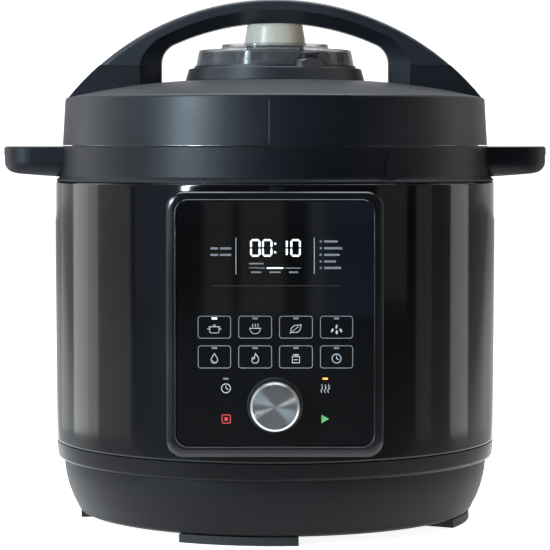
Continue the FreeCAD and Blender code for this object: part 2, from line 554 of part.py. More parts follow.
for sign in (-1, 1):
    lug = Part.makeBox(7.0, 3.0, 12.4, V(PIVOT_T - 3.5, sign * 6.3 - 1.5, 259.0))
    lug = lug.cut(Part.makeCylinder(1.55, 30, V(PIVOT_T, -15, PIVOT_Z), V(0, 1, 0)))
    hub = hub.fuse(local(lug))
save("hub_cover", hub.removeSplitter())

lever = fuse(Part.makeBox(39.0, 7.6, 2.0, V(9.0, -3.8, 261.0)), Part.makeCylinder(3.2, 7.6, V(PIVOT_T, -3.8, PIVOT_Z), V(0, 1, 0)),
             Part.makeBox(4.0, 19.0, 2.0, V(8.6, -9.5, 261.0)),
             Part.makeBox(18.0, 3.6, 2.0, V(-8.4, 5.9, 261.0)), Part.makeBox(18.0, 3.6, 2.0, V(-8.4, -9.5, 261.0)))
lever = lever.cut(Part.makeCylinder(1.56, 30, V(PIVOT_T, -15, PIVOT_Z), V(0, 1, 0)))
save("release_lever", local(lever))
save("lever_pin", local(Part.makeCylinder(1.5, 16.0, V(PIVOT_T, -8.0, PIVOT_Z), V(0, 1, 0))))
btn = cyl(6.1, bx, by, 273.0, 284.0)
btn = btn.makeFillet(3.2, edges_at(btn, lambda e: abs(e.BoundBox.ZMin - 284.0) < 1e-6 and e.BoundBox.ZLength < 1e-6))
save("release_button", fuse(btn, cyl(2.3, bx, by, 263.3, 274.0)))
save("button_spring", spring(4.2, 0.5, 266.02, 272.95, 3.5, bx, by))

# ---- clear diffuser over the valve, frosted cap -------------------------
dome = rev((48.7, 276.3), [(47.0, 284.6), (46.6, 285.6, 45.7, 285.9), (32.9, 286.9), (32.6, 289.4), (31.2, 289.6), (30.8, 288.0),
                           (17.6, 288.0), (17.6, 286.6), (31.2, 285.6), (45.0, 284.4), (45.5, 283.8), (47.1, 276.3)])
gap = rev((0, 270.0), [(11.2, 270.0), (11.2, 275.6), (10.15, 278.8, 7.0, 279.95), (7.0, 300.0), (0, 300.0)])
gap.translate(V(bx, by, 0))
dome = dome.cut(gap)
save("diffuser_cover", dome)
insert = ring(25.0, 42.6, 273.4, 284.0)
for k in range(16):
    a = 2 * math.pi * (k + 0.5) / 16
    insert = insert.cut(cyl(6.3, 44.0 * math.cos(a), 44.0 * math.sin(a), 278.6, 290))
insert = insert.cut(cyl(12.0, bx, by, 270, 300)).cut(cyl(4.2, fx, fy, 270, 290))
save("diffuser_insert", insert)
cap = rev((15.4, 284.6), [(17.4, 284.6), (17.4, 288.2), (19.3, 288.2), (17.3, 299.4), (16.7, 301.3, 14.7, 302.0), (0, 302.0), (0, 300.2),
                          (14.2, 300.2), (15.0, 299.9, 15.4, 299.0)])
for k in range(8):
    a = 2 * math.pi * k / 8
    cap = cap.cut(cyl(1.5, 9.5 * math.cos(a), 9.5 * math.sin(a), 299, 305))
save("diffuser_cap", cap)
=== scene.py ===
import math

import bmesh
import bpy
from mathutils import Matrix, Vector


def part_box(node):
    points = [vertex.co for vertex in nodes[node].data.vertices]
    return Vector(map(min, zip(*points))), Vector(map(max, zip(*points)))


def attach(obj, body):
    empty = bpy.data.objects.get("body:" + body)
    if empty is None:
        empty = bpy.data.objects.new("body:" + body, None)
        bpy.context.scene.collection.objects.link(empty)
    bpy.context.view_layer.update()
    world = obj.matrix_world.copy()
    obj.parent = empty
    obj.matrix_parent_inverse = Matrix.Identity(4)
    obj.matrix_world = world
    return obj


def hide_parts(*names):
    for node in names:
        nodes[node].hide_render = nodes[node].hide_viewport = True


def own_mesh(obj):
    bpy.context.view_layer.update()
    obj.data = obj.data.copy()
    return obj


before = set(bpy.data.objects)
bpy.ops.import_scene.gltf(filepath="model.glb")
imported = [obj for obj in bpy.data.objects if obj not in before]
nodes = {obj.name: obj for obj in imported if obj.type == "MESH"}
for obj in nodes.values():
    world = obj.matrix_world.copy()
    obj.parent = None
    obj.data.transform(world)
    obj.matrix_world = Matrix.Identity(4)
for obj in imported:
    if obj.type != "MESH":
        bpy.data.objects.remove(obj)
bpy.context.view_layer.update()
scene = bpy.context.scene
MM = 0.001

# ---- camera: level with the seam of the lid, a long lens -----------------
CAM_D, CAM_H, FOCAL = 1.450, 0.2274, 2354.0
SHIFT = -0.08
PITCH = math.atan((275.0 - 146.0 + SHIFT * 550.0) / FOCAL)
cam_data = bpy.data.cameras.new("camera")
cam_data.sensor_fit = "HORIZONTAL"
cam_data.sensor_width = 36.0
cam_data.lens = FOCAL / 550.0 * 36.0
cam_data.shift_y = SHIFT
cam_data.shift_x = 0.0
cam_data.clip_start, cam_data.clip_end = 0.05, 60.0
cam = bpy.data.objects.new("camera", cam_data)
cam.location = (0.0, -CAM_D, CAM_H)
cam.rotation_euler = (math.radians(90.0) - PITCH, 0.0, 0.0)
scene.collection.objects.link(cam)
scene.camera = cam
scene.view_settings.view_transform = "Standard"
scene.view_settings.look = "None"


# ---- materials -----------------------------------------------------------
def new_mat(name):
    m = bpy.data.materials.new(name)
    m.use_nodes = True
    nt = m.node_tree
    for n in list(nt.nodes):
        nt.nodes.remove(n)
    out = nt.nodes.new("ShaderNodeOutputMaterial")
    p = nt.nodes.new("ShaderNodeBsdfPrincipled")
    nt.links.new(p.outputs["BSDF"], out.inputs["Surface"])
    return m, nt, p


def node(nt, kind, **inputs):
    n = nt.nodes.new(kind)
    for k, v in inputs.items():
        n.inputs[k].default_value = v
    return n


def ramp(nt, source, stops):
    r = nt.nodes.new("ShaderNodeValToRGB")
    while len(r.color_ramp.elements) < len(stops):
        r.color_ramp.elements.new(0.5)
    for e, (pos, col) in zip(r.color_ramp.elements, stops):
        e.position = pos
        e.color = col if len(col) == 4 else (*col, 1.0)
    nt.links.new(source, r.inputs["Fac"])
    return r.outputs["Color"]


def grey(v):
    return (v, v, v, 1.0)


def moulded(name, color, rough, spec=0.5, grain=900.0, depth=0.00004, strength=0.25, vary=0.06, tint=0.25, coat=0.0):
    """Moulded plastic or paint: fine grain in the surface, slow change of gloss and shade."""
    m, nt, p = new_mat(name)
    tc = nt.nodes.new("ShaderNodeTexCoord")
    fine = node(nt, "ShaderNodeTexNoise", Scale=grain, Detail=2.0, Roughness=0.6)
    slow = node(nt, "ShaderNodeTexNoise", Scale=14.0, Detail=4.0, Roughness=0.55)
    nt.links.new(tc.outputs["Object"], fine.inputs["Vector"])
    nt.links.new(tc.outputs["Object"], slow.inputs["Vector"])
    lo = tuple(c * (1 - tint) for c in color)
    hi = tuple(c * (1 + tint) for c in color)
    nt.links.new(ramp(nt, slow.outputs["Fac"], [(0.3, lo), (0.7, hi)]), p.inputs["Base Color"])
    nt.links.new(ramp(nt, slow.outputs["Fac"], [(0.3, grey(rough - vary)), (0.7, grey(rough + vary))]), p.inputs["Roughness"])
    b = node(nt, "ShaderNodeBump", Strength=strength, Distance=depth)
    nt.links.new(fine.outputs["Fac"], b.inputs["Height"])
    nt.links.new(b.outputs["Normal"], p.inputs["Normal"])
    p.inputs["Specular IOR Level"].default_value = spec
    p.inputs["Coat Weight"].default_value = coat
    return m


def metal(name, color, rough, stretch=(1, 1, 60), scale=60.0, strength=0.15, vary=0.08):
    m, nt, p = new_mat(name)
    tc = nt.nodes.new("ShaderNodeTexCoord")
    mp = nt.nodes.new("ShaderNodeMapping")
    mp.inputs["Scale"].default_value = stretch
    nt.links.new(tc.outputs["Object"], mp.inputs["Vector"])
    brush = node(nt, "ShaderNodeTexNoise", Scale=scale, Detail=5.0, Roughness=0.65)
    nt.links.new(mp.outputs["Vector"], brush.inputs["Vector"])
    lo, hi = tuple(c * 0.9 for c in color), tuple(min(1.0, c * 1.05) for c in color)
    nt.links.new(ramp(nt, brush.outputs["Fac"], [(0.3, lo), (0.7, hi)]), p.inputs["Base Color"])
    nt.links.new(ramp(nt, brush.outputs["Fac"], [(0.25, grey(rough - vary)), (0.75, grey(rough + vary))]), p.inputs["Roughness"])
    b = node(nt, "ShaderNodeBump", Strength=strength, Distance=0.00004)
    nt.links.new(brush.outputs["Fac"], b.inputs["Height"])
    nt.links.new(b.outputs["Normal"], p.inputs["Normal"])
    p.inputs["Metallic"].default_value = 1.0
    return m


def clear(name, color, rough, trans, ior=1.46, grain=300.0, strength=0.05, milky=0.0):
    m, nt, p = new_mat(name)
    tc = nt.nodes.new("ShaderNodeTexCoord")
    n1 = node(nt, "ShaderNodeTexNoise", Scale=grain, Detail=2.0, Roughness=0.5)
    nt.links.new(tc.outputs["Object"], n1.inputs["Vector"])
    lo, hi = tuple(c * 0.94 for c in color), tuple(min(1.0, c * 1.04) for c in color)
    nt.links.new(ramp(nt, n1.outputs["Fac"], [(0.3, lo), (0.7, hi)]), p.inputs["Base Color"])
    nt.links.new(ramp(nt, n1.outputs["Fac"], [(0.3, grey(max(0.0, rough - 0.02))), (0.7, grey(rough + 0.02))]), p.inputs["Roughness"])
    b = node(nt, "ShaderNodeBump", Strength=strength, Distance=0.00005)
    nt.links.new(n1.outputs["Fac"], b.inputs["Height"])
    nt.links.new(b.outputs["Normal"], p.inputs["Normal"])
    p.inputs["Transmission Weight"].default_value = trans
    p.inputs["IOR"].default_value = ior
    p.inputs["Subsurface Weight"].default_value = milky
    p.inputs["Subsurface Radius"].default_value = (1.0, 0.95, 0.85)
    p.inputs["Subsurface Scale"].default_value = 0.012
    return m


def tinted(name, color, rough, alpha, grain=260.0, spec=0.5, edge=0.0):
    """Thin smoky plastic: partly see-through, slightly uneven, denser where it is seen edge-on."""
    m, nt, p = new_mat(name)
    tc = nt.nodes.new("ShaderNodeTexCoord")
    n1 = node(nt, "ShaderNodeTexNoise", Scale=grain, Detail=3.0, Roughness=0.5)
    nt.links.new(tc.outputs["Object"], n1.inputs["Vector"])
    lo, hi = tuple(c * 0.85 for c in color), tuple(min(1.0, c * 1.1) for c in color)
    nt.links.new(ramp(nt, n1.outputs["Fac"], [(0.3, grey(rough - 0.03)), (0.7, grey(rough + 0.03))]), p.inputs["Roughness"])
    shade = ramp(nt, n1.outputs["Fac"], [(0.3, lo), (0.7, hi)])
    dense = ramp(nt, n1.outputs["Fac"], [(0.3, grey(alpha - 0.03)), (0.7, grey(alpha + 0.03))])
    if edge > 0:
        lw = node(nt, "ShaderNodeLayerWeight", Blend=0.5)
        rimmed = ramp(nt, lw.outputs["Facing"], [(0.05, grey(0.0)), (0.4, grey(0.12)), (0.65, grey(0.5)), (0.9, grey(edge))])
        for src, dst, to in ((shade, "Base Color", (0.012, 0.012, 0.014, 1.0)), (dense, "Alpha", grey(1.0))):
            mx = nt.nodes.new("ShaderNodeMix")
            mx.data_type = "RGBA"
            nt.links.new(rimmed, mx.inputs["Factor"])
            nt.links.new(src, mx.inputs["A"])
            mx.inputs["B"].default_value = to
            nt.links.new(mx.outputs["Result"], p.inputs[dst])
    else:
        nt.links.new(shade, p.inputs["Base Color"])
        nt.links.new(dense, p.inputs["Alpha"])
    p.inputs["Specular IOR Level"].default_value = spec
    return m


def glow(name, color, strength, base=None):
    """Printed or lit marks: a little unevenness in the ink."""
    m, nt, p = new_mat(name)
    tc = nt.nodes.new("ShaderNodeTexCoord")
    n1 = node(nt, "ShaderNodeTexNoise", Scale=700.0, Detail=2.0, Roughness=0.5)
    nt.links.new(tc.outputs["Object"], n1.inputs["Vector"])
    c = base or color
    lo, hi = tuple(k * 0.88 for k in c), tuple(min(1.0, k * 1.06) for k in c)
    nt.links.new(ramp(nt, n1.outputs["Fac"], [(0.3, lo), (0.7, hi)]), p.inputs["Base Color"])
    nt.links.new(ramp(nt, n1.outputs["Fac"], [(0.3, grey(0.3)), (0.7, grey(0.42))]), p.inputs["Roughness"])
    p.inputs["Emission Color"].default_value = (*color, 1.0)
    p.inputs["Emission Strength"].default_value = strength
    return m


def spun(name, centre, radius):
    """Turned metal face: fine rings about the dial's axis, polished edge."""
    m, nt, p = new_mat(name)
    tc = nt.nodes.new("ShaderNodeTexCoord")
    sub = nt.nodes.new("ShaderNodeVectorMath")
    sub.operation = "SUBTRACT"
    nt.links.new(tc.outputs["Object"], sub.inputs[0])
    sub.inputs[1].default_value = centre
    flat = nt.nodes.new("ShaderNodeVectorMath")
    flat.operation = "MULTIPLY"
    nt.links.new(sub.outputs["Vector"], flat.inputs[0])
    flat.inputs[1].default_value = (1.0 / radius, 0.0, 1.0 / radius)
    dist = nt.nodes.new("ShaderNodeVectorMath")
    dist.operation = "LENGTH"
    nt.links.new(flat.outputs["Vector"], dist.inputs[0])
    r = dist.outputs["Value"]
    rings = nt.nodes.new("ShaderNodeTexNoise")
    rings.noise_dimensions = "1D"
    rings.inputs["Scale"].default_value = 60.0
    rings.inputs["Detail"].default_value = 3.0
    nt.links.new(r, rings.inputs["W"])
    face = ramp(nt, rings.outputs["Fac"], [(0.3, grey(0.44)), (0.7, grey(0.60))])
    shine = nt.nodes.new("ShaderNodeMix")
    shine.data_type = "RGBA"
    nt.links.new(ramp(nt, r, [(0.909, grey(0.0)), (0.914, grey(1.0))]), shine.inputs["Factor"])
    nt.links.new(face, shine.inputs["A"])
    shine.inputs["B"].default_value = grey(0.86)
    nt.links.new(shine.outputs["Result"], p.inputs["Base Color"])
    nt.links.new(ramp(nt, r, [(0.0, grey(0.30)), (0.909, grey(0.27)), (0.914, grey(0.34))]), p.inputs["Roughness"])
    nt.links.new(ramp(nt, r, [(0.0, grey(0.93)), (0.909, grey(0.93)), (0.914, grey(0.0))]), p.inputs["Anisotropic"])
    tan = nt.nodes.new("ShaderNodeTangent")
    tan.direction_type = "RADIAL"
    tan.axis = "Y"
    nt.links.new(tan.outputs["Tangent"], p.inputs["Tangent"])
    p.inputs["Anisotropic Rotation"].default_value = 0.25
    b = node(nt, "ShaderNodeBump", Strength=0.12, Distance=0.00003)
    nt.links.new(rings.outputs["Fac"], b.inputs["Height"])
    nt.links.new(b.outputs["Normal"], p.inputs["Normal"])
    p.inputs["Metallic"].default_value = 1.0
    return m


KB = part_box("knob")
KNOB_C = ((KB[0].x + KB[1].x) / 2, 0.0, (KB[0].z + KB[1].z) / 2)
KNOB_R = (KB[1].x - KB[0].x) / 2

M = {
    "spun": spun("dial_spun", KNOB_C, KNOB_R),
    "lid": moulded("lid_satin", (0.0078, 0.0090, 0.0130), 0.44, spec=0.43, grain=1500.0, strength=0.2),
    "collar": moulded("collar_satin", (0.0070, 0.0077, 0.0110), 0.46, spec=0.30, grain=1500.0, strength=0.22),
    "hub": moulded("hub_satin", (0.019, 0.021, 0.026), 0.46, spec=0.46, grain=1500.0, strength=0.2),
    "handle": moulded("handle_satin", (0.018, 0.0205, 0.027), 0.43, spec=0.58, grain=1500.0, strength=0.2),
    "matte": moulded("base_matte", (0.0050, 0.0051, 0.0060), 0.46, spec=0.20, grain=1200.0, strength=0.35),
    "trim": moulded("trim_ring", (0.0052, 0.0053, 0.006), 0.30, spec=0.16, grain=1500.0, strength=0.1),
    "shell": moulded("shell_gloss", (0.004, 0.004, 0.0045), 0.085, spec=0.42, grain=260.0, depth=0.00002, strength=0.05, vary=0.02),
    "bezel": moulded("bezel_gloss", (0.007, 0.0072, 0.008), 0.2, spec=0.6, grain=1400.0, strength=0.08),
    "glass": moulded("panel_glass", (0.0035, 0.0036, 0.004), 0.045, spec=0.4, grain=200.0, depth=0.00001, strength=0.02, vary=0.012),
    "halo": moulded("dial_ring", (0.02, 0.0205, 0.022), 0.24, spec=0.6, grain=1500.0, strength=0.08),
    "rubber": moulded("foot_rubber", (0.014, 0.014, 0.0145), 0.62, spec=0.35, grain=800.0, strength=0.5),
    "button": moulded("button_satin", (0.007, 0.007, 0.0078), 0.46, spec=0.22, grain=1500.0, strength=0.08),
    "dark": moulded("inner_dark", (0.02, 0.02, 0.022), 0.4, grain=900.0),
    "board": moulded("board_green", (0.012, 0.07, 0.03), 0.35, grain=500.0, strength=0.3),
    "silicone": moulded("silicone", (0.62, 0.62, 0.6), 0.42, grain=700.0, strength=0.15, tint=0.05),
    "steel": metal("steel_brushed", (0.56, 0.56, 0.57), 0.3),
    "pot": metal("pot_steel", (0.66, 0.66, 0.67), 0.22, stretch=(1, 1, 40)),
    "zinc": metal("screw_zinc", (0.5, 0.51, 0.53), 0.32, stretch=(1, 1, 1), scale=500.0),
    "alu": metal("alu_cast", (0.6, 0.6, 0.61), 0.4, stretch=(1, 1, 1), scale=300.0),
    "brass": metal("pin_brass", (0.68, 0.52, 0.24), 0.3, stretch=(1, 30, 1), scale=120.0),
    "clear": tinted("diffuser_clear", (0.15, 0.152, 0.155), 0.12, 0.27, edge=0.95),
    "insert": tinted("diffuser_insert", (0.05, 0.05, 0.052), 0.32, 0.84, spec=0.35, edge=0.5),
    "frost": clear("diffuser_frost", (1.0, 0.90, 0.75), 0.32, 0.4, milky=0.25),
    "cup": clear("cup_clear", (0.8, 0.82, 0.84), 0.22, 0.8),
}
WEAR = {
    "feet": "rubber", "base_bowl": "matte", "base_screws": "zinc", "base_ring": "trim", "outer_shell": "shell", "collar": "collar",
    "liner": "steel", "locking_flange": "steel", "inner_pot": "pot", "heating_plate": "alu", "heater_tube": "steel",
    "heater_bracket": "zinc", "sensor_cap": "alu", "sensor_spring": "steel", "power_board": "board", "power_components": "dark",
    "panel_frame": "bezel", "panel_glass": "glass", "panel_carrier": "matte", "display_board": "board", "led_display": "dark",
    "encoder_body": "zinc", "encoder_plunger": "dark", "knob_shaft": "brass", "knob": "spun", "knob_collar": "halo",
    "inlet_socket": "matte", "inlet_pins": "brass", "cup_rail": "collar", "drip_cup": "cup", "lid_cover": "lid", "lid_screws": "zinc",
    "lid_handle": "handle", "lid_handle_screws": "zinc", "lid_plate": "steel", "sealing_ring": "silicone", "seal_rack": "steel",
    "exhaust_pipe": "steel", "anti_block_shield": "pot", "float_valve": "steel", "float_cap": "silicone", "valve_weight": "dark",
    "hub_cover": "hub", "release_lever": "steel", "lever_pin": "steel", "release_button": "button", "button_spring": "steel",
    "diffuser_cover": "clear", "diffuser_insert": "insert", "diffuser_cap": "frost",
}
for name, obj in nodes.items():
    mat = M[WEAR[name]]
    if not obj.data.materials:
        obj.data.materials.append(mat)
    for s in obj.material_slots:
        s.material = mat

# ---- light: floor with a painted pool of light, white backdrop sky, soft boxes ---
world = bpy.data.worlds.new("studio")
scene.world = world
world.use_nodes = True
wn = world.node_tree
for n in list(wn.nodes):
    wn.nodes.remove(n)
wout = wn.nodes.new("ShaderNodeOutputWorld")
bg = wn.nodes.new("ShaderNodeBackground")
wn.links.new(bg.outputs["Background"], wout.inputs["Surface"])
wtc = wn.nodes.new("ShaderNodeTexCoord")
sep = wn.nodes.new("ShaderNodeSeparateXYZ")
wn.links.new(wtc.outputs["Generated"], sep.inputs["Vector"])
wr = wn.nodes.new("ShaderNodeValToRGB")
mapr = wn.nodes.new("ShaderNodeMapRange")
mapr.inputs["From Min"].default_value = -1.0
mapr.inputs["From Max"].default_value = 1.0
wn.links.new(sep.outputs["Y"], mapr.inputs["Value"])
els = wr.color_ramp.elements
els[0].position, els[0].color = 0.0, (0.048, 0.054, 0.072, 1)
els[1].position, els[1].color = 1.0, (1.3, 1.3, 1.3, 1)
for pos, v in ((0.5, 0.04), (0.79, 0.14), (0.85, 0.36), (0.90, 0.50), (0.97, 0.62), (0.988, 1.3)):
    e = els.new(pos)
    e.color = (v, v, v * 1.03, 1)
wn.links.new(mapr.outputs["Result"], wr.inputs["Fac"])
wn.links.new(wr.outputs["Color"], bg.inputs["Color"])
bg.inputs["Strength"].default_value = 1.0


def softbox(name, az, el, dist, w, h, power, color=(1, 1, 1), target=(0, 0, 0.17)):
    """Area light at azimuth az from the front (positive to the right), facing the object."""
    a, e = math.radians(az), math.radians(el)
    d = Vector((math.sin(a) * math.cos(e), -math.cos(a) * math.cos(e), math.sin(e)))
    l = bpy.data.lights.new(name, "AREA")
    l.shape = "RECTANGLE"
    l.size, l.size_y = w, h
    l.energy = power
    l.color = color
    o = bpy.data.objects.new(name, l)
    o.location = Vector(target) + d * dist
    o.rotation_euler = (-d).to_track_quat("-Z", "Y").to_euler()
    scene.collection.objects.link(o)
    return o


def strip(name, phi0, phi1, side, radiance, color=(1, 1, 1), reach=0.45, top=0.62):
    """Upright strip light standing on the floor beside the object, out of the picture, whose mirror image
    in the round wall falls between the angles phi0 and phi1 from the front."""
    ends = []
    for phi in (phi0, phi1):
        f = math.radians(phi)
        p = Vector((SHELL_R * math.sin(f), -SHELL_R * math.cos(f)))
        a = 2 * f + math.atan2(p.x, CAM_D + p.y)
        ends.append(p + reach * Vector((math.sin(a), -math.cos(a))))
    for e in ends:
        e.x *= side
    mid = (ends[0] + ends[1]) / 2
    along = ends[1] - ends[0]
    l = bpy.data.lights.new(name, "AREA")
    l.shape = "RECTANGLE"
    l.size, l.size_y = along.length, top - 0.004
    l.energy = radiance * math.pi * l.size * l.size_y
    l.color = color
    out = Vector((along.y, -along.x))
    if out.dot(mid) > 0:
        out = -out
    o = bpy.data.objects.new(name, l)
    o.location = (mid.x, mid.y, (top + 0.004) / 2)
    o.rotation_euler = Vector((out.x, out.y, 0.0)).to_track_quat("-Z", "Y").to_euler()
    scene.collection.objects.link(o)
    return o


SHELL_R = (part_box("outer_shell")[1].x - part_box("outer_shell")[0].x) / 2
softbox("key_left", -44.7, 16, 2.2, 0.14, 1.4, 50, (0.70, 0.87, 1.0))
softbox("fill_left", -62, 8, 2.2, 0.94, 2.4, 2.6, (0.58, 0.68, 1.0))
softbox("fill_right", 60.5, 8, 2.2, 0.66, 2.4, 1.35)
strip("strip_left_e", 62.2, 72.0, -1, 0.36)
strip("strip_left_a", 53.9, 62.0, -1, 2.2, (0.97, 1.0, 0.99))
strip("strip_left_b", 49.6, 53.8, -1, 1.7, (0.97, 1.0, 1.0))
strip("strip_left_c", 37.8, 49.4, -1, 0.60, (1.0, 0.95, 0.95))
strip("strip_right_a", 49.1, 57.2, 1, 1.5, (1.0, 0.99, 0.98))
strip("strip_right_b", 36.8, 42.0, 1, 0.36, (1.0, 0.95, 0.88))
strip("strip_right_c", 42.2, 48.9, 1, 0.14)
strip("strip_right_d", 57.4, 70.0, 1, 0.16)
# dim upright cards behind the camera, seen only as faint shades in the flat glass
GLASS_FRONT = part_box("panel_glass")[0].y


def card(name, x0, x1, radiance, color, y=-1.9, top=0.30):
    """Card whose mirror image in the glass lies between x0 and x1 (millimetres on the glass)."""
    k = (CAM_D + GLASS_FRONT + (GLASS_FRONT - y)) / (CAM_D + GLASS_FRONT) * MM
    l = bpy.data.lights.new(name, "AREA")
    l.shape = "RECTANGLE"
    l.size, l.size_y = (x1 - x0) * k, top - 0.004
    l.energy = radiance * math.pi * l.size * l.size_y
    l.color = color
    o = bpy.data.objects.new(name, l)
    o.location = ((x0 + x1) / 2 * k, y, (top + 0.004) / 2)
    o.rotation_euler = Vector((0.0, 1.0, 0.0)).to_track_quat("-Z", "Y").to_euler()
    scene.collection.objects.link(o)
    return o


card("card_right", 28.5, 56.5, 0.34, (0.33, 0.54, 1.0))
card("card_edge", 19.5, 28.0, 0.48, (0.80, 0.90, 1.0))
card("card_left", -40.0, -24.0, 0.30, (1.0, 0.98, 0.95))
card("card_mid", -19.5, 5.0, 0.30, (1.0, 0.98, 0.96))


def spot(name, az, el, dist, target, half, power, color=(1, 1, 1)):
    """Narrow spot on one piece."""
    a, e = math.radians(az), math.radians(el)
    d = Vector((math.sin(a) * math.cos(e), -math.cos(a) * math.cos(e), math.sin(e)))
    l = bpy.data.lights.new(name, "SPOT")
    l.energy = power
    l.color = color
    l.spot_size = math.radians(2 * half)
    l.spot_blend = 0.25
    l.shadow_soft_size = 0.04
    o = bpy.data.objects.new(name, l)
    o.location = Vector(target) + d * dist
    o.rotation_euler = (-d).to_track_quat("-Z", "Y").to_euler()
    scene.collection.objects.link(o)
    return o


spot("spot_dial", 38, 7, 1.5, (KNOB_C[0], KB[0].y, KNOB_C[2]), 0.62, 170)
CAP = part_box("diffuser_cap")
spot("spot_cap", 52, 7, 1.5, ((CAP[0].x + CAP[1].x) / 2, CAP[0].y, (CAP[0].z + CAP[1].z) / 2 - 0.007), 0.60, 120, (1.0, 0.95, 0.87))
softbox("top", 180, 74, 2.3, 2.6, 1.7, 80, (0.90, 0.95, 1.0))


def mesh_object(name, bm, mat, smooth=False):
    me = bpy.data.meshes.new(name)
    bm.normal_update()
    bm.to_mesh(me)
    bm.free()
    me.materials.append(mat)
    if smooth:
        me.shade_smooth()
    o = bpy.data.objects.new(name, me)
    scene.collection.objects.link(o)
    return o


# the floor is a sheet with a painted pool of light: it glows pale behind and under the object and fades to a dark
# painted shade towards the front and the sides
fm, fnt, fp = new_mat("floor_painted_light_pool")
ftc = fnt.nodes.new("ShaderNodeTexCoord")
fno = node(fnt, "ShaderNodeTexNoise", Scale=3.0, Detail=3.0)
fnt.links.new(ftc.outputs["Object"], fno.inputs["Vector"])
fsep = fnt.nodes.new("ShaderNodeSeparateXYZ")
fnt.links.new(ftc.outputs["Object"], fsep.inputs["Vector"])
fmap = fnt.nodes.new("ShaderNodeMapRange")
fmap.interpolation_type = "SMOOTHSTEP"
fmap.inputs["From Min"].default_value = -0.34
fmap.inputs["From Max"].default_value = -0.124
fnt.links.new(fsep.outputs["Y"], fmap.inputs["Value"])
fabs = fnt.nodes.new("ShaderNodeMath")
fabs.operation = "ABSOLUTE"
fnt.links.new(fsep.outputs["X"], fabs.inputs[0])
fback = fnt.nodes.new("ShaderNodeMath")
fback.operation = "MAXIMUM"
fnt.links.new(fsep.outputs["Y"], fback.inputs[0])
fback.inputs[1].default_value = 0.0
fwid = fnt.nodes.new("ShaderNodeMath")
fwid.operation = "MULTIPLY_ADD"
fnt.links.new(fback.outputs["Value"], fwid.inputs[0])
fwid.inputs[1].default_value = -0.12
fnt.links.new(fabs.outputs["Value"], fwid.inputs[2])
fwid2 = fnt.nodes.new("ShaderNodeMath")
fwid2.operation = "MULTIPLY_ADD"
fnt.links.new(fback.outputs["Value"], fwid2.inputs[0])
fwid2.inputs[1].default_value = -0.6
fnt.links.new(fabs.outputs["Value"], fwid2.inputs[2])
fside = fnt.nodes.new("ShaderNodeMapRange")
fside.interpolation_type = "SMOOTHSTEP"
fside.inputs["From Min"].default_value = 0.34
fside.inputs["From Max"].default_value = 0.174
fnt.links.new(fwid.outputs["Value"], fside.inputs["Value"])
fside2 = fnt.nodes.new("ShaderNodeMapRange")
fside2.interpolation_type = "SMOOTHSTEP"
fside2.inputs["From Min"].default_value = 0.75
fside2.inputs["From Max"].default_value = 0.20
fside2.inputs["To Max"].default_value = 0.28
fnt.links.new(fwid2.outputs["Value"], fside2.inputs["Value"])
fboth = fnt.nodes.new("ShaderNodeMath")
fboth.operation = "MAXIMUM"
fnt.links.new(fside.outputs["Result"], fboth.inputs[0])
fnt.links.new(fside2.outputs["Result"], fboth.inputs[1])
# mask of the painted pool of light: high behind and under the object, low in front and at the sides
painted_light_mask = fnt.nodes.new("ShaderNodeMath")
painted_light_mask.operation = "MULTIPLY"
fnt.links.new(fmap.outputs["Result"], painted_light_mask.inputs[0])
fnt.links.new(fboth.outputs["Value"], painted_light_mask.inputs[1])
# painted shade: the base colour is dark grey where the mask is low, pale where it is high
fmix = fnt.nodes.new("ShaderNodeMix")
fmix.data_type = "RGBA"
fnt.links.new(painted_light_mask.outputs["Value"], fmix.inputs["Factor"])
fmix.inputs["A"].default_value = grey(0.12)
fnt.links.new(ramp(fnt, fno.outputs["Fac"], [(0.3, grey(0.82)), (0.7, grey(0.86))]), fmix.inputs["B"])
fnt.links.new(fmix.outputs["Result"], fp.inputs["Base Color"])
# painted light: the floor glows where the mask is high
fnt.links.new(ramp(fnt, painted_light_mask.outputs["Value"], [(0.0, grey(0.0)), (1.0, grey(0.9))]), fp.inputs["Emission Color"])
fp.inputs["Emission Strength"].default_value = 1.0
fp.inputs["Roughness"].default_value = 0.8
fp.inputs["Specular IOR Level"].default_value = 0.2
bm = bmesh.new()
bmesh.ops.create_grid(bm, x_segments=8, y_segments=8, size=6.0)
floor = mesh_object("floor", bm, fm)

# ---- the witness line down the front of the lid's skirt: a thin cap on the raised line, lighter than the lid, a painted highlight along it ----
SKIRT = ((229.1, 130.40), (254.2, 128.94))      # height and radius at its foot and its top, millimetres
PART_X = (-3.64, -2.72)
bm = bmesh.new()
corners = []
for z, r in SKIRT:
    for x in PART_X:
        for dr in (-0.6, 0.0):
            q = r + dr
            corners.append(bm.verts.new((x * MM, -math.sqrt(q * q - x * x) * MM, z * MM)))
for f in ((0, 1, 3, 2), (4, 6, 7, 5), (0, 4, 5, 1), (2, 3, 7, 6), (1, 5, 7, 3), (0, 2, 6, 4)):
    bm.faces.new([corners[k] for k in f])
bmesh.ops.recalc_face_normals(bm, faces=bm.faces)
# the cap's light colour is a painted highlight on the raised line, which is the same black plastic as the lid
parting = mesh_object("lid_witness_painted_highlight", bm, moulded("witness_painted_highlight", (0.055, 0.062, 0.072), 0.44, spec=0.43, grain=1500.0, strength=0.2))
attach(parting, "lid")
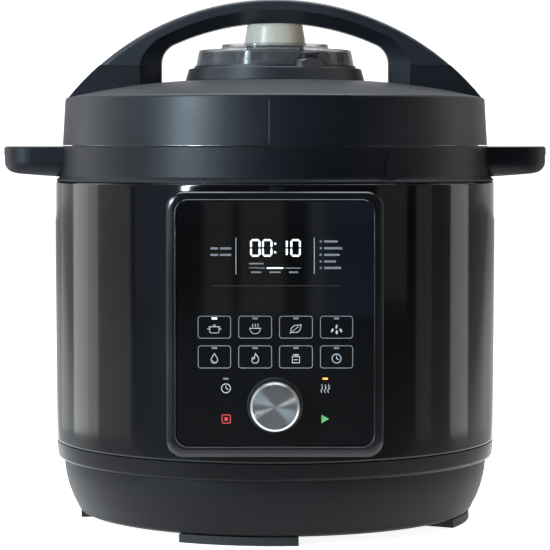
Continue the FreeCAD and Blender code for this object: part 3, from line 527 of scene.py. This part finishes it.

# ---- coil springs: their own wire ----
def coil(node_name, body, wire, turns):
    lo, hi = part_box(node_name)
    cx, cy = (lo.x + hi.x) / 2, (lo.y + hi.y) / 2
    r, length = (hi.x - lo.x) / 2 - wire, hi.z - lo.z
    steps, sides = int(turns * 32), 10
    bm = bmesh.new()
    rings = []
    for i in range(steps + 1):
        t = i / steps
        a = 2 * math.pi * turns * t
        # closed ends: the first and last half turn lie flat
        f = min(1.0, max(0.0, (t * turns - 0.5) / (turns - 1.0)))
        z = lo.z + wire + (length - 2 * wire) * f
        out = Vector((math.cos(a), math.sin(a), 0.0))
        ring = []
        for k in range(sides):
            b = 2 * math.pi * k / sides
            p = Vector((cx, cy, z)) + out * (r + wire * math.cos(b)) + Vector((0.0, 0.0, wire * math.sin(b)))
            ring.append(bm.verts.new(p))
        rings.append(ring)
    for u, v in zip(rings, rings[1:]):
        for k in range(sides):
            bm.faces.new((u[k], v[k], v[(k + 1) % sides], u[(k + 1) % sides]))
    bm.faces.new(rings[0])
    bm.faces.new(list(reversed(rings[-1])))
    bmesh.ops.recalc_face_normals(bm, faces=bm.faces)
    o = mesh_object(node_name + "_wire", bm, M["steel"], smooth=True)
    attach(o, body)
    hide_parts(node_name)
    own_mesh(o)
    return o


coil("button_spring", "lid", 0.5 * MM, 3.5)
coil("sensor_spring", "base", 0.6 * MM, 5.0)

# ---- printed and lit marks on the glass ----------------------------------
GLASS_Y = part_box("panel_glass")[0].y


class Ink:
    """Flat marks drawn in the panel's plane (x right, z up, millimetres), each a thin slab in the glass's face."""

    def __init__(self):
        self.bm = bmesh.new()

    def poly(self, pts, proud=0.05):
        y0, y1 = GLASS_Y + 0.03 * MM, GLASS_Y - proud * MM
        front = [self.bm.verts.new((x * MM, y1, z * MM)) for x, z in pts]
        back = [self.bm.verts.new((x * MM, y0, z * MM)) for x, z in pts]
        area = sum(pts[i - 1][0] * pts[i][1] - pts[i][0] * pts[i - 1][1] for i in range(len(pts)))
        if area < 0:
            front.reverse()
            back.reverse()
        self.bm.faces.new(front)
        self.bm.faces.new(list(reversed(back)))
        n = len(front)
        for i in range(n):
            self.bm.faces.new((front[i], back[i], back[(i + 1) % n], front[(i + 1) % n]))

    def bar(self, x0, x1, z0, z1, r=0.0):
        r = min(r, (x1 - x0) / 2, (z1 - z0) / 2)
        if r <= 0:
            self.poly([(x0, z0), (x1, z0), (x1, z1), (x0, z1)])
            return
        pts = []
        for cx, cz, a0 in ((x1 - r, z0 + r, -90), (x1 - r, z1 - r, 0), (x0 + r, z1 - r, 90), (x0 + r, z0 + r, 180)):
            for k in range(5):
                a = math.radians(a0 + 22.5 * k)
                pts.append((cx + r * math.cos(a), cz + r * math.sin(a)))
        self.poly(pts)

    def line(self, pts, w, closed=False):
        """Stroke of width w with mitred corners."""
        n = len(pts)
        if not closed:
            for i in range(n - 1):
                self._seg(pts[i], pts[i + 1], w)
            return
        left, right = [], []
        for i in range(n):
            a, b, c = Vector(pts[i - 1]), Vector(pts[i]), Vector(pts[(i + 1) % n])
            d0, d1 = (b - a).normalized(), (c - b).normalized()
            t = (d0 + d1).normalized()
            nrm = Vector((-t.y, t.x))
            k = w / 2 / max(0.4, nrm.dot(Vector((-d0.y, d0.x))))
            left.append(b + nrm * k)
            right.append(b - nrm * k)
        for i in range(n):
            j = (i + 1) % n
            self.poly([tuple(left[i]), tuple(left[j]), tuple(right[j]), tuple(right[i])])

    def _seg(self, a, b, w):
        a, b = Vector(a), Vector(b)
        d = (b - a).normalized() * (w * 0.32)
        nrm = Vector((-d.y, d.x)).normalized() * (w / 2)
        a, b = a - d, b + d
        self.poly([tuple(a + nrm), tuple(b + nrm), tuple(b - nrm), tuple(a - nrm)])

    def ring(self, cx, cz, r, w, a0=0.0, a1=360.0, n=28, sx=1.0):
        pts = [(cx + sx * r * math.cos(math.radians(a0 + (a1 - a0) * k / n)), cz + r * math.sin(math.radians(a0 + (a1 - a0) * k / n)))
               for k in range(n + 1)]
        if a1 - a0 >= 359.9:
            self.line(pts[:-1], w, True)
        else:
            self.line(pts, w)

    def disc(self, cx, cz, r, sx=1.0, n=20, turn=0.0):
        t = math.radians(turn)
        pts = []
        for k in range(n):
            x, z = sx * r * math.cos(2 * math.pi * k / n), r * math.sin(2 * math.pi * k / n)
            pts.append((cx + x * math.cos(t) - z * math.sin(t), cz + x * math.sin(t) + z * math.cos(t)))
        self.poly(pts)

    def frame(self, x0, x1, z0, z1, r, w):
        pts = []
        for cx, cz, a0 in ((x1 - r, z0 + r, -90), (x1 - r, z1 - r, 0), (x0 + r, z1 - r, 90), (x0 + r, z0 + r, 180)):
            for k in range(7):
                a = math.radians(a0 + 15 * k)
                pts.append((cx + r * math.cos(a), cz + r * math.sin(a)))
        self.line(pts, w, True)

    def done(self, name, mat):
        o = mesh_object(name, self.bm, mat)
        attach(o, "base")
        return o


SEG = {"0": "abcdef", "1": "bc", "2": "abged", "3": "abgcd", "4": "fgbc", "5": "afgcd", "6": "afgedc", "7": "abc", "8": "abcdefg", "9": "abcdfg"}


def digit(ink, ch, x0, x1, z0, z1, w=1.05, gap=0.22, slant=0.0):
    zm = (z0 + z1) / 2
    h = w / 2

    def sx(z):
        return slant * (z - z0)

    def hbar(z):
        a, b = x0 + h + gap, x1 - h - gap
        ink.poly([(a + sx(z), z), (a + h + sx(z), z + h), (b - h + sx(z), z + h), (b + sx(z), z), (b - h + sx(z), z - h), (a + h + sx(z), z - h)])

    def vbar(x, za, zb):
        za, zb = za + gap, zb - gap
        ink.poly([(x + sx(za), za), (x + h + sx(za), za + h), (x + h + sx(zb), zb - h), (x + sx(zb), zb), (x - h + sx(zb), zb - h), (x - h + sx(za), za + h)])

    for s in SEG[ch]:
        if s == "a":
            hbar(z1 - h)
        if s == "g":
            hbar(zm)
        if s == "d":
            hbar(z0 + h)
        if s == "b":
            vbar(x1 - h, zm, z1 - h)
        if s == "c":
            vbar(x1 - h, z0 + h, zm)
        if s == "f":
            vbar(x0 + h, zm, z1 - h)
        if s == "e":
            vbar(x0 + h, z0 + h, zm)


INK = {
    "lit": glow("ink_lit", (0.93, 0.97, 1.0), 1.15),
    "white": glow("ink_white", (0.8, 0.82, 0.84), 0.10, base=(0.62, 0.63, 0.65)),
    "grey": glow("ink_grey", (0.4, 0.41, 0.42), 0.06, base=(0.30, 0.305, 0.31)),
    "faint": glow("ink_faint", (0.2, 0.16, 0.15), 0.03, base=(0.07, 0.06, 0.058)),
    "amber": glow("ink_amber", (1.0, 0.42, 0.08), 1.2),
    "red": glow("ink_red", (0.75, 0.10, 0.08), 0.20, base=(0.55, 0.06, 0.05)),
    "green": glow("ink_green", (0.20, 0.62, 0.24), 0.20, base=(0.12, 0.42, 0.15)),
}
lit, white, dim, faint = Ink(), Ink(), Ink(), Ink()
amber, red, green = Ink(), Ink(), Ink()

# clock
Z0, Z1 = 165.7, 175.5
digit(lit, "0", -13.9, -8.1, Z0, Z1)
digit(lit, "0", -7.25, -1.45, Z0, Z1)
digit(lit, "1", 1.3, 7.1, Z0, Z1)
digit(lit, "0", 8.6, 14.4, Z0, Z1)
lit.bar(-0.45, 0.6, 167.7, 168.75, 0.2)
lit.bar(-0.45, 0.6, 172.4, 173.45, 0.2)
# level bar under the clock with short bars beside it
lit.bar(-4.6, 4.6, 158.9, 159.7, 0.1)
for x0, x1, z in ((-14.6, -6.4, 161.8), (-14.6, -9.0, 159.4)):
    dim.bar(x0, x1, z - 0.45, z + 0.45, 0.2)
for x0, x1, z in ((-3.2, 3.2, 157.0), (-13.4, -7.6, 157.0), (7.8, 13.0, 157.0)):
    dim.bar(x0, x1, z - 0.42, z + 0.42, 0.2)
dim.bar(-14.4, -5.6, 159.0, 159.6, 0.1)
dim.bar(5.6, 14.4, 159.0, 159.6, 0.1)
# dividers and the rows of small bars to the left and right
for x in (-21.8, 21.9):
    white.bar(x - 0.18, x + 0.18, 156.0, 176.3)
for z, x1 in ((170.3, -24.4), (166.7, -24.4)):
    dim.bar(-36.0, x1 - 7.4, z - 0.6, z + 0.6, 0.25)
    dim.bar(x1 - 6.4, x1, z - 0.6, z + 0.6, 0.25)
for z, w in ((174.2, 7.6), (170.4, 10.2), (166.7, 8.8), (163.0, 6.6), (159.4, 9.4)):
    dim.disc(25.5, z, 0.65)
    dim.bar(27.4, 27.4 + w, z - 0.6, z + 0.6, 0.25)
faint.bar(-35.5, 36.3, 149.25, 149.55)

# eight touch keys: outline, small light, pictogram
COLS = ((-42.95, -24.8), (-20.3, -1.9), (2.5, 20.9), (25.4, 43.4))
ROWS = ((120.1, 132.4), (103.4, 115.8))


def pictogram(ink, k, cx, cz):
    w = 0.42
    if k == 0:      # pot
        ink.line([(cx - 2.6, cz + 0.9), (cx - 2.6, cz - 1.7), (cx - 2.0, cz - 2.3), (cx + 2.0, cz - 2.3), (cx + 2.6, cz - 1.7), (cx + 2.6, cz + 0.9)], w)
        ink.bar(cx - 3.3, cx + 3.3, cz + 0.9, cz + 1.35, 0.2)
        ink.bar(cx - 0.8, cx + 0.8, cz + 1.75, cz + 2.3, 0.2)
        ink.bar(cx - 4.1, cx - 2.7, cz - 0.3, cz + 0.15, 0.1)
        ink.bar(cx + 2.7, cx + 4.1, cz - 0.3, cz + 0.15, 0.1)
    elif k == 1:    # bowl and steam
        ink.ring(cx, cz + 0.1, 2.9, w, 180, 360, 18)
        ink.bar(cx - 3.4, cx + 3.4, cz + 0.05, cz + 0.5, 0.15)
        for dx in (-1.2, 0.3, 1.8):
            ink.line([(cx + dx, cz + 1.1), (cx + dx - 0.4, cz + 1.6), (cx + dx + 0.1, cz + 2.1), (cx + dx - 0.3, cz + 2.7)], 0.34)
    elif k == 2:    # leaf
        ink.line([(cx - 2.9, cz - 2.0), (cx - 2.7, cz + 0.2), (cx - 1.0, cz + 1.8), (cx + 2.9, cz + 2.3), (cx + 2.4, cz - 0.6), (cx + 0.8, cz - 2.0), (cx - 1.6, cz - 2.0)], w, True)
        ink.line([(cx - 3.4, cz - 2.6), (cx - 0.4, cz - 0.2), (cx + 1.5, cz + 1.2)], 0.34)
    elif k == 3:    # grains
        for dx, dz, t in ((-2.4, -0.9, 60), (0.0, 1.2, 75), (2.4, -0.9, 115), (0.1, -1.9, 90)):
            ink.disc(cx + dx, cz + dz, 0.62, 1.9, 16, t)
    elif k == 4:    # drop
        ink.line([(cx, cz + 2.8), (cx + 1.5, cz + 0.4), (cx + 1.9, cz - 0.9), (cx + 1.2, cz - 2.2), (cx, cz - 2.6), (cx - 1.2, cz - 2.2), (cx - 1.9, cz - 0.9), (cx - 1.5, cz + 0.4)], w, True)
        ink.ring(cx, cz - 0.9, 1.0, 0.3, 200, 280, 6)
    elif k == 5:    # flame
        ink.line([(cx + 0.2, cz + 2.8), (cx + 1.9, cz + 0.4), (cx + 1.9, cz - 1.3), (cx + 1.0, cz - 2.5), (cx - 1.0, cz - 2.5), (cx - 1.9, cz - 1.3), (cx - 1.5, cz + 0.5), (cx - 0.7, cz - 0.2)], w, True)
    elif k == 6:    # jar
        ink.line([(cx - 2.0, cz + 1.1), (cx - 2.0, cz - 2.4), (cx + 2.0, cz - 2.4), (cx + 2.0, cz + 1.1)], w, True)
        ink.bar(cx - 1.6, cx + 1.6, cz + 1.7, cz + 2.4, 0.15)
        ink.bar(cx - 1.2, cx + 1.2, cz - 0.9, cz - 0.5)
    else:           # clock face
        ink.ring(cx, cz, 2.5, w, n=30)
        ink.line([(cx, cz + 1.5), (cx, cz), (cx + 1.2, cz - 0.6)], 0.36)


for r, (z0, z1) in enumerate(ROWS):
    for c, (x0, x1) in enumerate(COLS):
        k = r * 4 + c
        dim.frame(x0, x1, z0, z1, 1.5, 0.42)
        cx = (x0 + x1) / 2
        (lit if k == 0 else dim).bar(cx - 1.5, cx + 1.5, z1 - 1.75, z1 - 0.75, 0.15)
        pictogram(white, k, cx, (z0 + z1) / 2 - 0.9)

# delay and keep-warm lights with their signs
dim.bar(-29.0, -26.0, 96.9, 97.9, 0.15)
pictogram(white, 7, -27.4, 92.0)
amber.bar(26.6, 29.6, 96.9, 97.9, 0.15)
for dx in (-1.9, 0.0, 1.9):
    x = 28.1 + dx
    white.line([(x, 89.6), (x - 0.6, 90.7), (x + 0.5, 92.2), (x - 0.1, 93.6), (x + 0.2, 94.2)], 0.42)
# stop and start signs beside the dial
red.frame(-29.6, -25.0, 72.5, 77.1, 0.7, 0.6)
red.bar(-28.3, -26.3, 73.8, 75.8, 0.2)
green.poly([(26.0, 72.4), (26.0, 77.2), (30.2, 74.8)])

for ink, label, key in ((lit, "marks_lit", "lit"), (white, "marks_white", "white"), (dim, "marks_grey", "grey"), (faint, "marks_faint", "faint"),
                        (amber, "marks_amber", "amber"), (red, "marks_red", "red"), (green, "marks_green", "green")):
    ink.done(label, INK[key])
